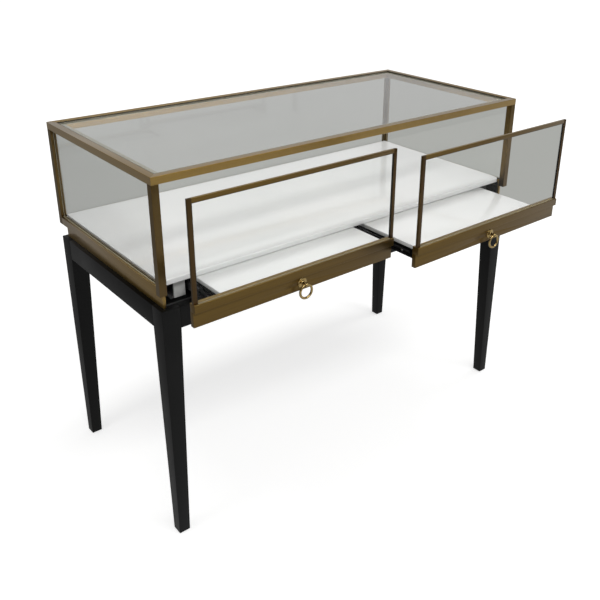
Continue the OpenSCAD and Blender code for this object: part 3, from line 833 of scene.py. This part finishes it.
def model_drawer(side):
    """All of a drawer but its glass, pull and screws."""
    body = "drawer_" + side
    band = eased_copy(body + "_band", body + "_band_brushed", 0.5)
    polish(band)
    finish_piece(band, body, drawer_painted_brass["x"], "box_brass", body + "_band")
    for part, axis in (("_rail", "x"), ("_stiles", "z"), ("_top_bar", "x")):
        piece = eased_copy(body + part, body + part + "_brushed", 0.4)
        polish(piece)
        finish_piece(piece, body, drawer_painted_brass[axis], "frame_brass", body + part)
    board = eased_box(body + "_board", body + "_board_lacquered", 0.5)
    finish_piece(board, body, white, "deck_white", body + "_board")
    band_board(body)
    seal_drawer_glass(body)
    tray_frame = eased_copy(body + "_frame", body + "_frame_faced", 0.5)
    polish(tray_frame)
    finish_piece(tray_frame, body, board_black, "inner_black", body + "_frame")
    rails = eased_copy(body + "_slide_rails", body + "_slide_rails_coated", 0.25)
    polish(rails)
    finish_piece(rails, body, slide_black, "slide_steel", body + "_slide_rails")


def band_board(body):
    """Light grey edge bands along both sides of a tray board and across its rear end; their grey is painted
    shade on the board's sides.
    """
    low, high = in_mm(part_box(body + "_board"))
    thick = 0.8
    top = high.z - 0.3
    bands = [
        block("edge_band", (low.x - thick, low.y, low.z), (low.x, high.y, top)),
        block("edge_band", (high.x, low.y, low.z), (high.x + thick, high.y, top)),
        block("edge_band", (low.x - thick, high.y, low.z), (high.x + thick, high.y + thick, top)),
    ]
    for piece in bands:
        ease(piece, 0.25)
    banding = join(body + "_board_edge_band", bands)
    polish(banding)
    finish_piece(banding, body, edge_band_shade, "cap_grey")


def seal_drawer_glass(body):
    """Black strips round the top and sides of a drawer's pane, on both its faces, and a bead at its foot."""
    low, high = in_mm(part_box(body + "_glass"))
    rail_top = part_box(body + "_rail")[1].z / MM
    bar_low, bar_high = in_mm(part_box(body + "_top_bar"))
    wide = 1
    left = bar_low.x + wide
    right = bar_high.x - wide
    strips = []
    for front in (low.y - wide, high.y):
        back = front + wide
        strips.append(block("strip", (bar_low.x, front, rail_top), (left, back, bar_low.z)))
        strips.append(block("strip", (right, front, rail_top), (bar_high.x, back, bar_low.z)))
        strips.append(block("strip", (left, front, bar_low.z - wide), (right, back, bar_low.z)))
    for strip in strips:
        ease(strip, 0.25)
    seal = join(body + "_glazing_strips", strips)
    polish(seal, 50)
    finish_piece(seal, body, silicone, "inner_black")
    foot = block(body + "_glazing_foot_bead", (left, low.y - 2.6, rail_top), (right, low.y, rail_top + 1.8))
    ease(foot, 0.6)
    polish(foot, 50)
    finish_piece(foot, body, bronze_seal, "frame_brass")


# Ring pulls

def turned(name, rings, sides=48, closed=False):
    """A piece turned on the Z axis, grown by rings of height and radius: a disc, or a closed hoop."""
    let_go()
    height, radius = rings[0]
    bpy.ops.mesh.primitive_circle_add(
        vertices=sides,
        radius=radius * MM,
        fill_type="NOTHING" if closed else "NGON",
        location=(0, 0, height * MM),
    )
    piece = bpy.context.active_object
    piece.name = name
    settle(piece)
    work_on(piece, "EDGE" if closed else "FACE")
    bpy.ops.mesh.select_all(action="SELECT")
    extrude = bpy.ops.mesh.extrude_edges_move if closed else bpy.ops.mesh.extrude_region_move
    for next_height, next_radius in rings[1:]:
        grow = next_radius / radius
        extrude(TRANSFORM_OT_translate={"value": (0, 0, (next_height - height) * MM)})
        bpy.ops.transform.resize(value=(grow, grow, 1), center_override=(0, 0, next_height * MM))
        height = next_height
        radius = next_radius
    put_down()
    turn_out(piece)
    return piece


# The radius of a ring to the middle of its wire, and the radius of the wire
ring_middle = 17
ring_wire = 3
# The radius of the knuckle's bore, its wall, and how far its middle stands out from the band
knuckle_bore = 3.66
knuckle_wall = 2
knuckle_height = 15
# How far a band lies behind the rail over it
band_recess = 8


def model_pull():
    """The left pull's mount and ring, standing on the origin with Z out of the band's face."""
    rosette = turned("rosette", [
        (0, 13), (1.1, 13), (1.6, 12.8), (1.9, 12.3), (2.0, 11.6), (2.3, 11.2), (2.5, 10),
        (2.8, 8.2), (3.2, 6.6), (3.8, 5.4), (4.6, 4.6), (5.8, 4.1), (7.4, 3.9), (9, 3.8), (11, 3.8),
    ])
    outer = knuckle_bore + knuckle_wall
    knuckle = turned("knuckle", [
        (-3.4, knuckle_bore), (-3.9, knuckle_bore + 0.4), (-4, knuckle_bore + 0.9),
        (-3.8, outer - 0.5), (-3.2, outer), (0, outer), (3.2, outer), (3.8, outer - 0.5),
        (4, knuckle_bore + 0.9), (3.9, knuckle_bore + 0.4), (3.4, knuckle_bore), (-3.4, knuckle_bore),
    ], closed=True)
    knuckle.rotation_euler = (0, math.radians(90), 0)
    knuckle.location = (0, 0, knuckle_height * MM)
    settle(knuckle)
    mount = join("pull_left_mount_turned", [rosette, knuckle])
    let_go()
    bpy.ops.mesh.primitive_circle_add(
        vertices=24,
        radius=ring_wire * MM,
        location=(ring_middle * MM, 0, 0),
        rotation=(math.radians(90), 0, 0),
    )
    ring = bpy.context.active_object
    ring.name = "pull_left_ring_polished"
    settle(ring)
    work_on(ring, "EDGE")
    bpy.ops.mesh.select_all(action="SELECT")
    bpy.ops.mesh.spin(steps=96, angle=math.radians(360), center=(0, 0, 0), axis=(0, 0, 1))
    put_down()
    turn_out(ring)
    return mount, ring


def hang_pulls():
    """Stands the left pull on its band, and a copy of it on the right one."""
    mount, ring = model_pull()
    spots = {}
    for side in SIDES:
        low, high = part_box("pull_" + side + "_ring")
        spots[side] = (low + high) / 2 / MM
    left = spots["left"]
    mount.location = (left.x * MM, (left_front + band_recess) * MM, (left.z + ring_middle) * MM)
    ring.location = left * MM
    for piece in (mount, ring):
        piece.rotation_euler = (math.radians(90), 0, 0)
        settle(piece)
    step = spots["right"] - left
    right_mount = copy_moved(mount, "pull_right_mount_turned", step)
    right_ring = copy_moved(ring, "pull_right_ring_polished", step)
    for side, piece in (("left", mount), ("right", right_mount)):
        polish(piece, 50)
        finish_piece(piece, "drawer_" + side, gold, "pull_gold", "pull_" + side + "_mount")
    for side, piece in (("left", ring), ("right", right_ring)):
        polish(piece, 60)
        finish_piece(piece, "ring_" + side, gold, "pull_gold", "pull_" + side + "_ring")


# Parts that keep their CAD shape

def ease_parts():
    """Inner parts whose CAD shape is right get eased edges and their finish."""
    parts = (
        ("box_floor", "counter", board_black, "inner_black", 0.5),
        ("centre_divider", "counter", board_black, "inner_black", 0.5),
        ("deck_cleats", "counter", lacquer, "inner_black", 0.3),
        ("slide_outer_rails", "counter", slide_black, "slide_steel", 0.25),
        ("spacer_bars", "counter", aluminium, "spacer_aluminium", 0.25),
        ("corner_plates", "counter", zinc, "zinc_steel", 0.4),
        ("leg_bolts", "counter", zinc, "zinc_steel", 0.5),
    )
    for node, body, finish, slot, width in parts:
        piece = eased_copy(node, node + "_finished", width)
        polish(piece)
        finish_piece(piece, body, finish, slot, node)
    for node in ("slide_mid_left", "slide_mid_right"):
        finish_node(node, slide_black)


slide_low, slide_high = in_mm(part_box("slide_outer_rails"))
slide_length = slide_high.y - slide_low.y
slide_middle = (slide_low.z + slide_high.z) / 2
slide_sheet = 1.2
slide_thick = 12.5
screw_places = (0.08, 0.36, 0.86)
tray_frame_wood = 12


def model_screw_head(name):
    """A pan head with a cross recess, on the origin with Z out of the head."""
    head = turned(name, [(0, 3.4), (0.3, 3.5), (0.8, 3.4), (1.2, 3.0), (1.45, 2.2), (1.5, 1.0)], 20)
    tools = [
        block("recess", (-0.4, -1.9, 0.7), (0.4, 1.9, 3)),
        block("cut", (-1.9, -0.4, 0.7), (1.9, 0.4, 3)),
    ]
    for tool in tools:
        carve = head.modifiers.new("cross", "BOOLEAN")
        carve.operation = "DIFFERENCE"
        carve.solver = "EXACT"
        carve.object = tool
    apply_all(head)
    for tool in tools:
        bpy.data.objects.remove(tool)
    return head


def stand_head(head, name, place, out):
    """A copy of a screw head at a place in millimetres, facing out."""
    copy = copy_of(head, name)
    copy.rotation_euler = Vector(out).to_track_quat("Z", "Y").to_euler()
    copy.location = [part * MM for part in place]
    settle(copy)
    return copy


def model_screws():
    """The screws' heads with their cross recess, which stand for the CAD screws."""
    head = model_screw_head("screw_head")
    divider_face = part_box("centre_divider")[1].x / MM
    carriers = ((divider_face, 1), (slide_high.x, -1))
    fixed = []
    for mirror in (LEFT, RIGHT):
        for x, way in carriers:
            for share in screw_places:
                y = slide_low.y + share * slide_length
                place = (mirror * (x + way * slide_sheet), y, slide_middle)
                fixed.append(stand_head(head, "fixed_head", place, (mirror * way, 0, 0)))
    heads = join("slide_screw_heads", fixed)
    polish(heads, 40)
    finish_piece(heads, "counter", zinc, "zinc_steel", "slide_screws")
    for side, mirror in SIDES.items():
        body = "drawer_" + side
        rails_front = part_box(body + "_slide_rails")[0].y / MM
        moving = []
        for x, way in carriers:
            for share in screw_places:
                y = rails_front + share * slide_length
                place = (mirror * (x + way * (slide_thick - slide_sheet)), y, slide_middle)
                moving.append(stand_head(head, "moving_head", place, (-mirror * way, 0, 0)))
        low, high = in_mm(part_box(body + "_frame"))
        row_z = (low.z + high.z) / 2
        inner = min(abs(low.x), abs(high.x))
        outer = max(abs(low.x), abs(high.x))
        third = (outer - inner) / 3
        cross_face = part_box(body + "_band")[1].y / MM + tray_frame_wood
        for x in (inner + third / 2, outer - third / 2):
            for step in (-third / 4, third / 4):
                place = (mirror * (x + step), cross_face, row_z)
                moving.append(stand_head(head, "front_head", place, (0, 1, 0)))
        heads = join(body + "_screw_heads", moving)
        polish(heads, 40)
        finish_piece(heads, body, zinc, "zinc_steel", body + "_screws")
    bpy.data.objects.remove(head)


def model_caps():
    """Moulded caps on the spacer bars, with a shallow panel and a rounded rim: the right one is black, as
    painted shade under the deck.
    """
    low, high = in_mm(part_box("spacer_caps"))
    inner_edge = min(spot.co.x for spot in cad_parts["spacer_caps"].data.vertices if spot.co.x > 0)
    rim = 2.2
    panel_depth = 0.6
    cap = block("right_spacer_cap_painted_shade", (inner_edge / MM, low.y, low.z), high)
    ease(cap, 0.8, 3)
    work_on(cap, "FACE")
    pick_faces(cap, lambda middle, normal: normal.y < -0.99)
    bpy.ops.mesh.inset(thickness=rim * MM)
    bpy.ops.transform.translate(value=(0, panel_depth * MM, 0))
    bpy.ops.mesh.inset(thickness=0.5 * MM)
    put_down()
    grey_cap = copy_mirrored(cap, "left_spacer_cap_moulded")
    for piece in (grey_cap, cap):
        polish(piece)
    finish_piece(grey_cap, "counter", cap_plastic, "cap_grey", "spacer_caps")
    # The right cap's black is painted shade; it is otherwise the left cap's twin.
    finish_piece(cap, "counter", rubber, "inner_black")


def model_glides():
    """Nylon glides turned with a rounded sole and a collar, each with its pin."""
    low, high = in_mm(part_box("glides"))
    radius = 11
    pin = 2.0
    first = turned("glide", [
        (0, 9.4), (0.2, 10.3), (0.6, 10.8), (1.1, radius), (1.5, radius), (1.8, 10.7),
        (base_low.z, 10.1), (base_low.z + 0.01, pin), (high.z, pin),
    ], 40)
    glides = []
    for x in (low.x + radius, high.x - radius):
        for y in (low.y + radius, high.y - radius):
            glides.append(copy_moved(first, "glide_copy", (x, y, 0)))
    bpy.data.objects.remove(first)
    whole = join("glides_turned", glides)
    polish(whole, 40)
    finish_piece(whole, "counter", rubber, "glide_rubber", "glides")


# Studio

room_grey = (0.395, 0.4, 0.38)


def stage_floor():
    """A large pale floor. The camera sees it white where it is lit, and it keeps the shadow; in polished
    faces it shows a painted glow.
    """
    let_go()
    bpy.ops.mesh.primitive_plane_add(size=80, location=(0, 0, 0))
    floor = bpy.context.active_object
    floor.name = "studio_floor"
    finish = bpy.data.materials.new("studio_floor_paint")
    finish.use_nodes = True
    nodes = finish.node_tree.nodes
    nodes.remove(nodes["Principled BSDF"])
    path = add(finish, "ShaderNodeLightPath")
    paint = add(finish, "ShaderNodeBsdfDiffuse", Color=(0.6, 0.6, 0.595, 1))
    lift = add(finish, "ShaderNodeEmission", Color=(1, 1, 1, 1))
    spot = add(finish, "ShaderNodeTexCoord")
    far = add(finish, "ShaderNodeVectorMath", operation="LENGTH")
    wire(finish, spot.outputs["Object"], far.inputs[0])
    wire(finish, spread(finish, far.outputs["Value"], 1.2, 4, 0.62, 0.82), lift.inputs["Strength"])
    lifted = add(finish, "ShaderNodeAddShader")
    wire(finish, paint.outputs[0], lifted.inputs[0])
    wire(finish, lift.outputs[0], lifted.inputs[1])
    seen = add(finish, "ShaderNodeMixShader")
    wire(finish, path.outputs["Is Camera Ray"], seen.inputs[0])
    wire(finish, paint.outputs[0], seen.inputs[1])
    wire(finish, lifted.outputs[0], seen.inputs[2])
    # Painted reflection: in polished faces the floor glows, dim behind and near the counter and brighter
    # further in front, standing in for the shade near the counter.
    toward = add(finish, "ShaderNodeVectorMath", operation="DOT_PRODUCT")
    wire(finish, spot.outputs["Object"], toward.inputs[0])
    toward.inputs[1].default_value = (0.15, -0.99, 0)
    mirrored = add(finish, "ShaderNodeEmission", Color=(1, 1, 1, 1))
    wire(finish, spread(finish, toward.outputs["Value"], -0.8, 1.6, 0.28, 0.64), mirrored.inputs["Strength"])
    in_metal = add(finish, "ShaderNodeMixShader")
    wire(finish, path.outputs["Is Glossy Ray"], in_metal.inputs[0])
    wire(finish, seen.outputs[0], in_metal.inputs[1])
    wire(finish, mirrored.outputs[0], in_metal.inputs[2])
    room = add(finish, "ShaderNodeEmission", Color=(*room_grey, 1), Strength=1)
    behind_glass = add(finish, "ShaderNodeMixShader")
    wire(finish, path.outputs["Glossy Depth"], behind_glass.inputs[0])
    wire(finish, room.outputs[0], behind_glass.inputs[1])
    wire(finish, mirrored.outputs[0], behind_glass.inputs[2])
    whole = add(finish, "ShaderNodeMixShader")
    wire(finish, path.outputs["Is Transmission Ray"], whole.inputs[0])
    wire(finish, in_metal.outputs[0], whole.inputs[1])
    wire(finish, behind_glass.outputs[0], whole.inputs[2])
    wire(finish, whole.outputs[0], nodes["Material Output"].inputs["Surface"])
    floor.data.materials.append(finish)


def light_world():
    """Soft white all round, plain white for the camera, and a pale grey room behind the glass."""
    world = bpy.data.worlds.new("studio_world")
    bpy.context.scene.world = world
    world.use_nodes = True
    nodes = world.node_tree.nodes
    nodes.clear()
    path = add(world, "ShaderNodeLightPath")
    fill = add(world, "ShaderNodeBackground", Color=(1, 1, 1, 1))
    around = add(world, "ShaderNodeBackground", Color=(1, 1, 1, 1))
    facing = add(world, "ShaderNodeTexCoord")
    for light, way, low, high, dim, full in (
        (fill, (0, -0.1, -0.99), -0.97, 0.2, 0.32, 0.78),
        (around, (0.75, 0.66, 0), -0.4, 0.8, 0.24, 0.54),
    ):
        toward = add(world, "ShaderNodeVectorMath", operation="DOT_PRODUCT")
        wire(world, facing.outputs["Generated"], toward.inputs[0])
        toward.inputs[1].default_value = way
        wire(world, spread(world, toward.outputs["Value"], low, high, dim, full), light.inputs["Strength"])
    white_out = add(world, "ShaderNodeBackground", Color=(1, 1, 1, 1), Strength=1)
    room = add(world, "ShaderNodeBackground", Color=(*room_grey, 1), Strength=1)
    behind_glass = add(world, "ShaderNodeMixShader")
    wire(world, path.outputs["Glossy Depth"], behind_glass.inputs[0])
    wire(world, room.outputs[0], behind_glass.inputs[1])
    wire(world, around.outputs[0], behind_glass.inputs[2])
    shader = fill.outputs[0]
    for ray, seen in (
        ("Is Glossy Ray", around),
        ("Is Transmission Ray", behind_glass),
        ("Is Camera Ray", white_out),
    ):
        mix = add(world, "ShaderNodeMixShader")
        wire(world, path.outputs[ray], mix.inputs[0])
        wire(world, shader, mix.inputs[1])
        wire(world, seen.outputs[0], mix.inputs[2])
        shader = mix.outputs[0]
    out = add(world, "ShaderNodeOutputWorld")
    wire(world, shader, out.inputs["Surface"])


def hang_lamp(name, place, target, size, power, mirrored):
    """A soft lamp that points at a target; mirrored says whether polished faces show it."""
    lamp = bpy.data.lights.new(name, "AREA")
    lamp.shape = "RECTANGLE"
    lamp.size, lamp.size_y = size
    lamp.energy = power
    holder = bpy.data.objects.new(name, lamp)
    bpy.context.scene.collection.objects.link(holder)
    holder.visible_glossy = mirrored
    holder.location = place
    holder.rotation_euler = (Vector(target) - Vector(place)).to_track_quat("-Z", "Y").to_euler()


def light_studio():
    """Two lamps, the world's light and the floor."""
    hang_lamp("top_strip_box", (0.2, 0.0, 4.6), (0.2, 0, 0), (5.0, 0.6), 76, False)
    hang_lamp("front_strip_box", (0.2, -3.3, 4.2), (0.2, 0, 0.7), (5.0, 0.8), 110, True)
    light_world()
    stage_floor()
    bpy.context.scene.view_settings.view_transform = "Standard"


stand_camera()
model_legs()
model_aprons()
model_box()
model_case_frame()
model_seals()
paint_box_shade()
model_floor_strip()
model_glass()
model_deck()
for side in SIDES:
    model_drawer(side)
hang_pulls()
ease_parts()
model_screws()
model_caps()
model_glides()
light_studio()
